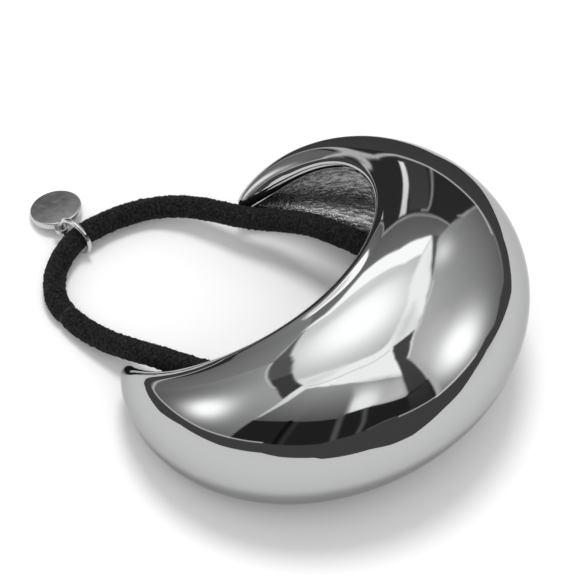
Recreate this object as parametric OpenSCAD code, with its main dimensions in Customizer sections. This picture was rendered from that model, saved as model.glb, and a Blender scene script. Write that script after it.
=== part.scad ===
// Ponytail cuff: a hollow domed metal cuff on an elastic loop, with a small
// disc charm on a jump ring. Millimetres. The cuff lies on its side as it rests
// by itself on a table: +Z up, the dome towards +X, the open side towards -X,
// and the origin on the table under the middle of the cuff's box.

/* [Cuff] */
// Radius of the two rims, round the centre of the cuff
rim_r = 23.5; // [21:0.5:28]
// Angle from the middle of the cuff to each tip
arm_angle = 127; // [105:1:132]
// Depth of the hollow section at the middle, from the rims to the dome
mid_depth = 22.5; // [18:0.5:27]
// Depth of the section where an arm ends
tip_depth = 3.5; // [3:0.5:6]
// Height of the section at the middle, from rim to rim
mid_height = 36; // [30:1:42]
// Height of the section where an arm ends
tip_height = 5; // [4:0.5:9]
// Thickness of the cast wall
wall = 1; // [0.8:0.1:1.3]
// Half the sweep of the section at the middle, where 90 is half an ellipse
mid_sweep = 92; // [88:1:98]
// Half the sweep of the section at the tips, where 180 is closed
tip_sweep = 155; // [120:5:160]
// Lean of the sections at the tips, which rounds the noses past the rims
tip_lean = 1.2; // [0:0.1:1.5]
// Tilt at which the cuff balances on its two arms
rest_tilt = 17; // [14:0.5:20]

/* [Bridge] */
// Diameter of the metal bridge inside the dome, which holds the elastic
bridge_d = 1.6; // [1.2:0.1:2.4]
// Free space between the elastic and the bridge, and the elastic and the dome
bridge_gap = 0.7; // [0.5:0.1:1.2]

/* [Elastic loop] */
// Diameter of the knitted elastic
elastic_d = 4; // [3:0.25:4.5]

/* [Jump ring] */
// Diameter of the ring's wire
wire_d = 0.9; // [0.8:0.1:1.2]
// Free space between the elastic and the inside of the ring, all round
ring_slack = 0.8; // [0.7:0.05:1.2]
// Width of the cut where the ring was closed
ring_cut = 0.15; // [0.1:0.05:0.4]

/* [Charm] */
// Diameter of the disc
disc_d = 9; // [7:0.5:12]
// Thickness of the disc
disc_t = 1.3; // [1:0.1:1.8]
// Radius of the disc's edges
disc_edge = 0.25; // [0.1:0.05:0.4]
// Thickness of the eye at the disc's edge
eye_t = 0.8; // [0.6:0.1:1]
// Metal left round the hole of the eye
eye_rim = 0.45; // [0.4:0.05:0.7]
// Free space between the ring's wire and the hole of the eye
eye_gap = 0.3; // [0.3:0.05:0.5]
// Heading of the eye, seen from the middle of the disc
charm_heading = -48; // [-60:1:-20]
// Roll of the disc about the line from its middle to the eye
charm_roll = 6; // [-10:1:10]

/* [Hidden] */

// Stations from tip to tip, and steps from rim to rim, of the cast surfaces
stations = 56;
steps = 24;
// How the depth falls from the middle to the tips, and how short the noses are
depth_fall = 1.8;
nose_power = 12;
// Metal from the end of the hollow to the tip, along the rim
tip_metal = 1.5 * wall;
hollow_angle = arm_angle - tip_metal / rim_r * 180 / PI;

// Share of the way from the middle (0) to a tip (-1 or 1) at each station
function way(i) = sin(180 * i / stations - 90);
function nose(s) = sqrt(1 - pow(s, nose_power));
function depth_at(s, off) =
    (tip_depth - off + (mid_depth - tip_depth) * pow(1 - s * s, depth_fall)) * nose(s);
function half_height_at(s, off) =
    (tip_height / 2 - off + (mid_height - tip_height) / 2 * (1 - s * s)) * nose(s);
function sweep_at(s) = mid_sweep + (tip_sweep - mid_sweep) * pow(s, 3);

// One point of a cast surface: w is the way along it, v runs -1 to 1 from the
// lower rim to the upper, off is how far inside the outer surface it lies
function cast_point(w, v, off, angle) =
    let (
        s = abs(w),
        a = sweep_at(s),
        deep = depth_at(s, off) * (cos(v * a) - cos(a)) / (1 - cos(a)),
        r = rim_r + deep,
        turn = angle * w + sign(w) * tip_lean * pow(s, 3) * deep / rim_r * 180 / PI
    )
    [r * cos(turn), r * sin(turn), half_height_at(s, off) * sin(v * a)];

// A cast surface: one point at each tip and a row of points at each station
function cast_points(off, angle) = concat(
    [[rim_r * cos(angle), -rim_r * sin(angle), 0]],
    [for (i = [1:stations - 1]) for (j = [0:steps])
        cast_point(way(i), 2 * j / steps - 1, off, angle)],
    [[rim_r * cos(angle), rim_r * sin(angle), 0]]);

surface_count = 2 + (stations - 1) * (steps + 1);
function at(i, j) =
    i == 0 ? 0 : i == stations ? surface_count - 1 : 1 + (i - 1) * (steps + 1) + j;
function flipped(faces) = [for (f = faces) [f[2], f[1], f[0]]];
function moved(faces, by) = [for (f = faces) [f[0] + by, f[1] + by, f[2] + by]];

surface_faces = [
    for (i = [0:stations - 1]) for (j = [0:steps - 1])
        each concat(
            i > 0 ? [[at(i, j), at(i, j + 1), at(i + 1, j)]] : [],
            i < stations - 1 ? [[at(i + 1, j), at(i, j + 1), at(i + 1, j + 1)]] : [])];

// The flat face of one rim, between the outer surface and the hollow
function rim_faces(j) = [
    for (i = [0:stations - 1])
        each [[at(i, j), at(i + 1, j), at(i, j) + surface_count],
              [at(i + 1, j), at(i + 1, j) + surface_count, at(i, j) + surface_count]]];

outer_points = cast_points(0, arm_angle);
hollow_points = cast_points(wall, hollow_angle);

// Where the cuff stands once it is tilted to its rest on the table
function tilted(p) = [
    p[0] * cos(rest_tilt) - p[2] * sin(rest_tilt),
    p[1],
    p[0] * sin(rest_tilt) + p[2] * cos(rest_tilt)];
rest_points = [for (p = outer_points) tilted(p)];
rest_x = [for (p = rest_points) p[0]];
cuff_shift = -(min(rest_x) + max(rest_x)) / 2;
cuff_lift = -min([for (p = rest_points) p[2]]);

// The bridge is a half ring on two feet, which end halfway into the wall
bridge_hole_r = elastic_d / 2 + bridge_gap;
bridge_r = rim_r + mid_depth - wall - bridge_hole_r;
bridge_half = bridge_hole_r + bridge_d / 2;
bridge_share = bridge_half / (mid_height / 2 - wall);
bridge_end = rim_r + wall / 2 + (mid_depth - wall) / (1 - cos(mid_sweep))
    * (sqrt(1 - bridge_share * bridge_share) - cos(mid_sweep));

// Route of the elastic, a closed loop that starts under the bridge
elastic_route = [
    [25.7, 0, 22.8], [24.8, 4, 22.5], [22.4, 7.2, 21.8], [18.9, 9.1, 20.7],
    [14.5, 10.8, 19.4], [9.5, 12.5, 17.9], [3.5, 14.2, 16.2], [-3, 15.7, 14.3],
    [-9.6, 16.8, 13], [-15.6, 17.5, 11.3], [-21.5, 17.4, 8.9], [-27, 16.7, 7.2],
    [-32.6, 16.6, 5.7], [-38.4, 16, 4.2], [-43.6, 13.8, 3.1], [-47.4, 10.1, 2.9],
    [-49.9, 6, 3.2], [-51.5, 2, 3.5], [-52, -2.6, 3], [-51.1, -6.8, 2.4],
    [-48.6, -10.3, 2.1], [-45.1, -12.2, 2.1], [-41, -13.6, 2.6], [-35.9, -14.7, 3.8],
    [-31, -15.3, 5.5], [-26, -15.7, 7.2], [-20, -16.2, 9], [-13, -16.3, 11.1],
    [-6, -15.8, 13.1], [1, -14.7, 15.2], [8, -12.9, 17.4], [14, -11, 19.2],
    [18.9, -9.1, 20.7], [22.4, -7.2, 21.8], [24.8, -4, 22.5]];
elastic_sides = 12;
route_count = len(elastic_route);
function route(k) = elastic_route[(k + route_count) % route_count];
function unit(v) = v / norm(v);
function heading_at(k) = unit(route(k + 1) - route(k - 1));

// The jump ring stands on the table round this point of the elastic's route,
// pulled this share of its slack out towards the charm
ring_place = 17;
ring_pull = 0.75 * ring_slack;
ring_r = elastic_d / 2 + ring_slack + wire_d / 2;
ring_turn = atan2(heading_at(ring_place)[1], heading_at(ring_place)[0]);
ring_out = [sin(ring_turn), -cos(ring_turn), 0];
ring_centre = [
    route(ring_place)[0] + ring_pull * ring_out[0],
    route(ring_place)[1] + ring_pull * ring_out[1],
    ring_r + wire_d / 2];
// Place of the cut, turned from the foot of the ring up its inner side
ring_cut_at = 122;
ring_cut_angle = ring_cut / ring_r * 180 / PI;

// The middle of the eye lies this far past the disc's edge, and hangs this many
// degrees below the ring's outermost point
eye_step = 0.8;
eye_drop = 12;
eye_hole_r = wire_d / 2 + eye_gap;
eye_r = eye_hole_r + eye_rim;
eye_reach = disc_d / 2 + eye_step;
eye_centre = ring_centre + ring_r * (cos(eye_drop) * ring_out - [0, 0, sin(eye_drop)]);
// The charm leans from the ring down to the table. Its fall from the middle of
// the eye to its lowest edge grows with its tilt, and halving finds the tilt at
// which that fall is the eye's height
function charm_fall(tilt) =
    let (level = cos(tilt) * cos(charm_roll))
    eye_reach * sin(tilt) + disc_d / 2 * sqrt(1 - level * level) + disc_t / 2 * level;
function tilt_between(low, high, halvings) =
    let (middle = (low + high) / 2)
    halvings == 0 ? middle
    : charm_fall(middle) < eye_centre[2] ? tilt_between(middle, high, halvings - 1)
    : tilt_between(low, middle, halvings - 1);
charm_tilt = tilt_between(0, 60, 24);

module bridge() {
    translate([bridge_r, 0, 0])
        rotate([90, 0, 0])
            rotate([0, 0, 90])
                rotate_extrude(angle = 180, $fn = 72)
                    translate([bridge_half, 0]) circle(d = bridge_d, $fn = 32);
    for (side = [-1, 1])
        translate([bridge_r, 0, side * bridge_half])
            rotate([0, 90, 0])
                cylinder(h = bridge_end - bridge_r, d = bridge_d, $fn = 32);
}

// The hollow casting, closed all round: outside, inside and the two rims
module casting() {
    polyhedron(
        points = concat(outer_points, hollow_points),
        faces = concat(
            surface_faces,
            moved(flipped(surface_faces), surface_count),
            rim_faces(0),
            flipped(rim_faces(steps))));
}

module cuff_shell() {
    color("silver")
        translate([cuff_shift, 0, cuff_lift])
            rotate([0, -rest_tilt, 0])
                union() {
                    casting();
                    bridge();
                }
}

// A tube with one ring of points at each point of the route, closed on itself
module elastic_loop() {
    sides = elastic_sides;
    points = [
        for (k = [0:route_count - 1])
            let (
                ahead = heading_at(k),
                side = unit(cross(ahead, [0, 0, 1])),
                top = cross(side, ahead)
            )
            for (j = [0:sides - 1])
                route(k) + elastic_d / 2
                    * (cos(360 * j / sides) * side + sin(360 * j / sides) * top)];
    faces = [
        for (k = [0:route_count - 1]) for (j = [0:sides - 1])
            let (
                here = k * sides,
                next = (k + 1) % route_count * sides,
                j2 = (j + 1) % sides
            )
            each [[here + j, here + j2, next + j], [next + j, here + j2, next + j2]]];
    color("#1c1c1c") polyhedron(points = points, faces = faces);
}

module jump_ring() {
    color("gainsboro")
        translate(ring_centre)
            rotate([0, 0, ring_turn])
                rotate([0, 90, 0])
                    rotate([0, 0, ring_cut_at + ring_cut_angle / 2])
                        rotate_extrude(angle = 360 - ring_cut_angle, $fn = 96)
                            translate([ring_r, 0]) circle(d = wire_d, $fn = 32);
}

// Half of the disc's section, with rounded edges
module disc_section() {
    hull() {
        square([disc_d / 4, disc_t], center = true);
        for (z = [-1, 1])
            translate([disc_d / 2 - disc_edge, z * (disc_t / 2 - disc_edge)])
                circle(r = disc_edge, $fn = 24);
    }
}

module charm_disc() {
    color("gainsboro")
        translate(eye_centre)
            rotate([0, 0, charm_heading])
                rotate([charm_roll, -charm_tilt, 0])
                    translate([-eye_reach, 0, 0])
                        difference() {
                            union() {
                                rotate_extrude($fn = 96)
                                    intersection() {
                                        disc_section();
                                        translate([0, -disc_t])
                                            square([disc_d, 2 * disc_t]);
                                    }
                                translate([0, 0, -eye_t / 2])
                                    cylinder(h = eye_t, r = disc_d / 3, $fn = 96);
                                translate([eye_reach, 0, -eye_t / 2])
                                    cylinder(h = eye_t, r = eye_r, $fn = 48);
                                translate([disc_d / 3, -eye_r * 0.8, -eye_t / 2])
                                    cube([eye_reach - disc_d / 3, eye_r * 1.6, eye_t]);
                            }
                            translate([eye_reach, 0, -disc_t])
                                cylinder(h = 2 * disc_t, r = eye_hole_r, $fn = 48);
                        }
}

cuff_shell();
elastic_loop();
jump_ring();
charm_disc();
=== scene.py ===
"""Ponytail cuff: the finished look of a hollow domed cuff on a knitted elastic.

Every piece is modelled in millimetres in the row's own frame, with +Z up from
the table and the dome towards +X, and is scaled to metres when it is done.
Angles kept as sizes are in degrees, and headings are counted from +X.
"""

import logging
import math
import random
from dataclasses import dataclass
from enum import Enum

import bmesh
import bpy
import numpy as np
from mathutils import Matrix, Vector


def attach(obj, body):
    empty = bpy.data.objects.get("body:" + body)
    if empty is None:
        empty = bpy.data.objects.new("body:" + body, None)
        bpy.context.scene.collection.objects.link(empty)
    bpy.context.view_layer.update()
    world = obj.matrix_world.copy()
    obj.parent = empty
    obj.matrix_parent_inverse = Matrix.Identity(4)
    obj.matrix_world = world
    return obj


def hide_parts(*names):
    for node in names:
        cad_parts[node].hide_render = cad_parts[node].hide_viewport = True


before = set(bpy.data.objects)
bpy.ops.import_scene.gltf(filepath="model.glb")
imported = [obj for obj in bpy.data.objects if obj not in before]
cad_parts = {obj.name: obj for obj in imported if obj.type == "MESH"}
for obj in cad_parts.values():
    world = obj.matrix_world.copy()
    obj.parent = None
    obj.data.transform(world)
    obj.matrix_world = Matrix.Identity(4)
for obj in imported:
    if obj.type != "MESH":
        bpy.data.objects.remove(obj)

# One millimetre in metres, and the millimetres within which two points are one
MM = 0.001
MERGE = 1e-4
# The least number that anything is divided by
TINY = 1e-6
# Sides of every round wire
WIRE_SIDES = 24

Point = tuple[float, float, float]
Range = tuple[float, float]
Colour = tuple[float, float, float, float]
Outline = tuple[tuple[float, float], ...]
Shape = bmesh.types.BMesh
Edge = bmesh.types.BMEdge
Vertex = bmesh.types.BMVert
Socket = bpy.types.NodeSocket
log = logging.getLogger("ponytail_cuff")


class Side(Enum):
    """The two faces of the cast wall."""

    OUTSIDE = 0
    INSIDE = 1


# Nodes of a material


@dataclass(frozen=True)
class Pattern:
    """A cloudy pattern, and the stretch of its values that a finish uses."""

    scale: float
    detail: float = 3.0
    roughness: float = 0.5
    stretch: Range = (0.0, 1.0)


def coloured(tone: float, tint: Point = (1.0, 1.0, 1.0)) -> Colour:
    """Makes a colour from a tone and its share in each channel."""
    red, green, blue = (tone * share for share in tint)
    return red, green, blue, 1.0


class Nodes:
    """A material's node tree, with a short way to add and join nodes."""

    def __init__(self, name: str) -> None:
        """Starts a material that has only its output and a shader.

        Args:
            name: Name of the material.
        """
        self.material = bpy.data.materials.new(name)
        self.material.use_nodes = True
        self.tree = self.material.node_tree
        self.shader = self.tree.nodes["Principled BSDF"]
        self.output = self.tree.nodes["Material Output"]

    def put(self, value: Socket | Colour | float, socket: Socket) -> None:
        """Gives a socket its value, by a link where the value is a socket too.

        Args:
            value: The value, or the socket that carries it.
            socket: The socket that takes it.
        """
        if isinstance(value, Socket):
            self.tree.links.new(value, socket)
        else:
            socket.default_value = value

    def add(self, kind: str, **settings: object) -> bpy.types.Node:
        """Adds a node and gives it its settings.

        Args:
            kind: Blender's name of the node type.
            **settings: Attributes of the node, or values of its named inputs.

        Returns:
            The new node.
        """
        node = self.tree.nodes.new(kind)
        for key, value in settings.items():
            if hasattr(node, key):
                setattr(node, key, value)
            else:
                self.put(value, node.inputs[key.replace("_", " ")])
        return node

    def shade(self, **values: object) -> None:
        """Gives the shader's own sockets their values."""
        for key, value in values.items():
            self.put(value, self.shader.inputs[key.replace("_", " ")])

    def own_map(self, name: str) -> Socket:
        """Gets the coordinates of a piece's own map."""
        return self.add("ShaderNodeUVMap", uv_map=name).outputs["UV"]

    def mapped(self, place: Socket, scale: Point) -> Socket:
        """Stretches coordinates along each axis."""
        return self.add("ShaderNodeMapping", Vector=place, Scale=scale).outputs["Vector"]

    def coordinates(self, scale: Point = (1.0, 1.0, 1.0)) -> Socket:
        """Gets Object coordinates in millimetres, stretched by a scale."""
        place = self.add("ShaderNodeTexCoord").outputs["Object"]
        return self.mapped(place, tuple(share / MM for share in scale))

    def noise(self, place: Socket, pattern: Pattern) -> Socket:
        """Adds a cloudy pattern on some coordinates."""
        return self.add("ShaderNodeTexNoise", Vector=place, Scale=pattern.scale,
                        Detail=pattern.detail, Roughness=pattern.roughness).outputs["Fac"]

    def spread(self, value: Socket, stretch: Range, result: Range = (0.0, 1.0)) -> Socket:
        """Maps a stretch of a value to another range, and holds it inside that.

        Args:
            value: The value to map.
            stretch: The value at the two ends of the stretch.
            result: What it becomes there.

        Returns:
            The mapped value.
        """
        node = self.add("ShaderNodeMapRange", Value=value, From_Min=stretch[0],
                        From_Max=stretch[1], To_Min=result[0], To_Max=result[1])
        return node.outputs["Result"]

    def mix(self, factor: Socket, first: Socket | Colour, second: Colour) -> Socket:
        """Mixes two colours by a factor."""
        node = self.add("ShaderNodeMix", data_type="RGBA", Factor=factor, A=first, B=second)
        return node.outputs["Result"]

    def calculate(self, operation: str, *values: Socket | float) -> Socket:
        """Works out one step of arithmetic.

        Args:
            operation: Blender's name of the step.
            *values: The numbers that it takes, in order.

        Returns:
            The result.
        """
        node = self.add("ShaderNodeMath", operation=operation)
        for value, socket in zip(values, node.inputs):
            self.put(value, socket)
        return node.outputs["Value"]

    def bump(self, height: Socket, depth: float, strength: float = 1.0,
             under: Socket | None = None) -> Socket:
        """Adds a bump from a height pattern.

        Args:
            height: The pattern, from 0 to 1.
            depth: Height in millimetres at 1.
            strength: Share of the bump that shows.
            under: Normal of a bump that lies under this one.

        Returns:
            The bumped normal.
        """
        node = self.add("ShaderNodeBump", Height=height, Strength=strength, Distance=depth * MM)
        if under is not None:
            self.put(under, node.inputs["Normal"])
        return node.outputs["Normal"]


# Finishes


@dataclass(frozen=True)
class PolishedCasting:
    """Mirror polish on cast metal, with faint waves left by the buffing."""

    reflectance: float = 0.46
    tint: Point = (1.0, 1.005, 1.01)
    edge_tint: float = 0.66
    roughness: Range = (0.015, 0.048)
    haze: Pattern = Pattern(0.35, 4.0, stretch=(0.35, 0.7))
    wave: Pattern = Pattern(1.0 / 9.0, 1.0)
    wave_depth: float = 0.012

    def material(self) -> bpy.types.Material:
        """Makes the material of the polished outside.

        Returns:
            The material.
        """
        nodes = Nodes("polished_shell")
        place = nodes.coordinates()
        haze = nodes.noise(place, self.haze)
        wave = nodes.noise(place, self.wave)
        nodes.shade(Metallic=1.0,
                    Base_Color=coloured(self.reflectance, self.tint),
                    Specular_Tint=coloured(self.edge_tint),
                    Roughness=nodes.spread(haze, self.haze.stretch, self.roughness),
                    Normal=nodes.bump(wave, self.wave_depth))
        return nodes.material


@dataclass(frozen=True)
class RawCasting:
    """The inside of the casting, plated over the fine streaks that the mould left."""

    reflectance: float = 0.76
    dull_share: float = 0.3
    roughness: Range = (0.09, 0.036)
    streaks: Point = (95.0, 260.0, 1.0)
    streak: Pattern = Pattern(1.0, 4.0, 0.6, (0.38, 0.62))
    streak_depth: float = 0.06
    grain: Pattern = Pattern(2.6, 3.0, 0.6, (0.35, 0.65))
    grain_depth: float = 0.08

    def material(self) -> bpy.types.Material:
        """Makes the material of the inside, on the casting's own map.

        Returns:
            The material.
        """
        nodes = Nodes("raw_casting")
        streak = nodes.noise(nodes.mapped(nodes.own_map("cast"), self.streaks), self.streak)
        grain = nodes.noise(nodes.coordinates(), self.grain)
        streaked = nodes.bump(streak, self.streak_depth)
        nodes.shade(Metallic=1.0,
                    Base_Color=nodes.mix(nodes.spread(streak, self.streak.stretch),
                                         coloured(self.reflectance * self.dull_share),
                                         coloured(self.reflectance)),
                    Roughness=nodes.spread(grain, self.grain.stretch, self.roughness),
                    Normal=nodes.bump(grain, self.grain_depth, under=streaked))
        return nodes.material


@dataclass(frozen=True)
class KnittedYarn:
    """Black yarn knitted over rubber, matt and a little fuzzy."""

    shade: float = 0.0085
    dark_share: float = 0.4
    pale_share: float = 3.4
    join_share: float = 5.0
    dark_tint: Point = (1.0, 1.0, 1.03)
    pale_tint: Point = (1.0, 1.0, 1.04)
    join_width: float = 0.003
    join_stretch: Range = (0.42, 0.6)
    fuzz: Pattern = Pattern(2.4, 4.0, 0.75, (0.42, 0.66))
    fuzz_depth: float = 0.2
    fuzz_strength: float = 0.8
    thread_wander: float = 2.5
    thread_detail: float = 2.0
    thread_fineness: float = 1.5
    thread_depth: float = 0.12
    thread_strength: float = 0.6
    patches: Pattern = Pattern(0.6, 2.0)
    roughness: Range = (0.8, 0.98)
    sheen: float = 0.025
    sheen_roughness: float = 0.45
    specular: float = 0.12

    def material(self, ribs: int, stitches: int, join_at: float) -> bpy.types.Material:
        """Makes the yarn's material on the cord's own knit map.

        Args:
            ribs: Ribs along the whole loop.
            stitches: Stitches round the cord.
            join_at: Share of the loop at which its two ends meet.

        Returns:
            The material.
        """
        nodes = Nodes("knitted_elastic")
        knit, place = nodes.own_map("knit"), nodes.coordinates()
        threads = nodes.add("ShaderNodeTexWave", bands_direction="Y", Scale=1.0,
                            Distortion=self.thread_wander, Detail=self.thread_detail,
                            Detail_Scale=self.thread_fineness,
                            Vector=nodes.mapped(knit, (ribs, stitches, 1.0)))
        fuzz = nodes.noise(place, self.fuzz)
        tone = nodes.mix(nodes.spread(fuzz, self.fuzz.stretch),
                         coloured(self.shade * self.dark_share, self.dark_tint),
                         coloured(self.shade * self.pale_share, self.pale_tint))
        threaded = nodes.bump(threads.outputs["Fac"], self.thread_depth, self.thread_strength)
        nodes.shade(Base_Color=nodes.mix(self.join_cover(nodes, knit, fuzz, join_at), tone,
                                         coloured(self.shade * self.join_share)),
                    Roughness=nodes.spread(nodes.noise(place, self.patches),
                                           self.patches.stretch, self.roughness),
                    Sheen_Weight=self.sheen, Sheen_Roughness=self.sheen_roughness,
                    Specular_IOR_Level=self.specular,
                    Normal=nodes.bump(fuzz, self.fuzz_depth, self.fuzz_strength, threaded))
        return nodes.material

    def join_cover(self, nodes: Nodes, knit: Socket, fuzz: Socket, join_at: float) -> Socket:
        """Finds the worn, paler line where the loop's two ends meet.

        Args:
            nodes: The material's nodes.
            knit: The knit map's coordinates.
            fuzz: The fine pattern that breaks the line up.
            join_at: Share of the loop at which its two ends meet.

        Returns:
            The line's cover, from 0 to 1.
        """
        along = nodes.add("ShaderNodeSeparateXYZ", Vector=knit).outputs["X"]
        gap = nodes.calculate("ABSOLUTE", nodes.calculate("SUBTRACT", along, join_at))
        line = nodes.spread(gap, (0.0, self.join_width), (1.0, 0.0))
        return nodes.calculate("MULTIPLY", line, nodes.spread(fuzz, self.join_stretch))


@dataclass(frozen=True)
class YarnFibre:
    """The single fibres that stand off the yarn, a few of them pale."""

    dark: float = 0.007
    pale: float = 0.14
    worn: Pattern = Pattern(1.7, 1.0, stretch=(0.6, 0.74))
    roughness: float = 0.85
    specular: float = 0.1

    def material(self) -> bpy.types.Material:
        """Makes the fibres' material.

        Returns:
            The material.
        """
        nodes = Nodes("elastic_fibre")
        worn = nodes.noise(nodes.coordinates(), self.worn)
        tone = nodes.mix(nodes.spread(worn, self.worn.stretch), coloured(self.dark),
                         coloured(self.pale))
        nodes.shade(Base_Color=tone, Roughness=self.roughness, Specular_IOR_Level=self.specular)
        return nodes.material


@dataclass(frozen=True)
class PlatedMetal:
    """Bright plating with fine rubbed scratches."""

    name: str
    roughness: Range
    scratch_depth: float = 0.004
    reflectance: float = 0.55
    tint: Point = (1.0, 1.0, 1.01)
    rub: Pattern = Pattern(0.9, 5.0, 0.6, (0.3, 0.7))
    scratches: Pattern = Pattern(1.4)
    scratch_stretch: Point = (1.0, 9.0, 1.0)

    def material(self) -> bpy.types.Material:
        """Makes the plated material.

        Returns:
            The material.
        """
        nodes = Nodes(self.name)
        rub = nodes.noise(nodes.coordinates(), self.rub)
        scratches = nodes.noise(nodes.coordinates(self.scratch_stretch), self.scratches)
        nodes.shade(Metallic=1.0,
                    Base_Color=coloured(self.reflectance, self.tint),
                    Roughness=nodes.spread(rub, self.rub.stretch, self.roughness),
                    Normal=nodes.bump(scratches, self.scratch_depth))
        return nodes.material


@dataclass(frozen=True)
class TableTop:
    """The plain white table."""

    shade: float = 0.86
    roughness: float = 0.9

    def material(self) -> bpy.types.Material:
        """Makes the table's material.

        Returns:
            The material.
        """
        nodes = Nodes("table_top")
        nodes.shade(Base_Color=coloured(self.shade), Roughness=self.roughness,
                    Specular_IOR_Level=0.0)
        return nodes.material


@dataclass(frozen=True)
class Glowing:
    """Light that only gloss can see, by a painted value or an even one."""

    name: str
    strength: float | None = None

    def material(self) -> bpy.types.Material:
        """Makes the glowing material.

        Returns:
            The material.
        """
        nodes = Nodes(self.name)
        strength = self.strength
        if strength is None:
            strength = nodes.add("ShaderNodeAttribute", attribute_name="glow").outputs["Fac"]
        glow = nodes.add("ShaderNodeEmission", Strength=strength)
        nodes.put(glow.outputs["Emission"], nodes.output.inputs["Surface"])
        nodes.tree.nodes.remove(nodes.shader)
        nodes.material.cycles.emission_sampling = "NONE"
        return nodes.material


# Ways of shaping


def turned(degrees: float, axis: str) -> Matrix:
    """Makes a turn about one axis."""
    return Matrix.Rotation(math.radians(degrees), 4, axis)


def grid_place(vertex: Vertex, columns: int, rows: int) -> tuple[int, int]:
    """Finds a vertex's column and row in a grid that reaches from -1 to 1."""
    return round((vertex.co.x + 1) / 2 * columns), round((vertex.co.y + 1) / 2 * rows)


def edges_of(shape: Shape, made: dict[str, list[Vertex]]) -> list[Edge]:
    """Finds the edges between the vertices that an operator made."""
    verts = set(made["verts"])
    return [edge for edge in shape.edges if verts.issuperset(edge.verts)]


def open_edges(shape: Shape) -> list[Edge]:
    """Finds the edges that have a face on one side only."""
    return [edge for edge in shape.edges if edge.is_boundary]


def bend_wire(shape: Shape, thickness: float, start: Matrix, centre: Point, axis: Point,
              angle: float, steps: int) -> None:
    """Bends a round wire about an axis, and leaves its two ends open.

    Args:
        shape: The shape that takes the wire.
        thickness: The wire's diameter.
        start: Place and turn of its start, where it runs along X before the turn.
        centre: Point that it bends round.
        axis: Axis that it bends about.
        angle: Angle that it spans, in radians.
        steps: Steps along it.
    """
    circle = bmesh.ops.create_circle(shape, segments=WIRE_SIDES, radius=thickness / 2,
                                     matrix=start @ turned(90, "Y"))
    bmesh.ops.spin(shape, geom=edges_of(shape, circle), cent=centre, axis=axis, angle=angle,
                   steps=steps)


def round_off(shape: Shape, parts: list[Edge] | list[Vertex], offset: float, segments: int,
              affect: str = "EDGES") -> dict[str, list]:
    """Rounds edges or corners off, and returns what the bevel made."""
    return bmesh.ops.bevel(shape, geom=parts, affect=affect, offset=offset, segments=segments,
                           profile=0.5, material=-1)


def finished(name: str, shape: Shape, materials: list[bpy.types.Material],
             smooth: bool = True) -> bpy.types.Object:
    """Turns a shape in millimetres into an object in metres at the origin.

    Args:
        name: Name of the object.
        shape: The modelled shape, which is freed.
        materials: Its materials, in slot order.
        smooth: Whether its faces are smooth shaded.

    Returns:
        The new object, linked to the scene.
    """
    for face in shape.faces:
        face.smooth = smooth
    mesh = bpy.data.meshes.new(name)
    shape.to_mesh(mesh)
    shape.free()
    mesh.transform(Matrix.Scale(MM, 4))
    for material in materials:
        mesh.materials.append(material)
    thing = bpy.data.objects.new(name, mesh)
    bpy.context.scene.collection.objects.link(thing)
    return thing


# Pieces


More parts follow.
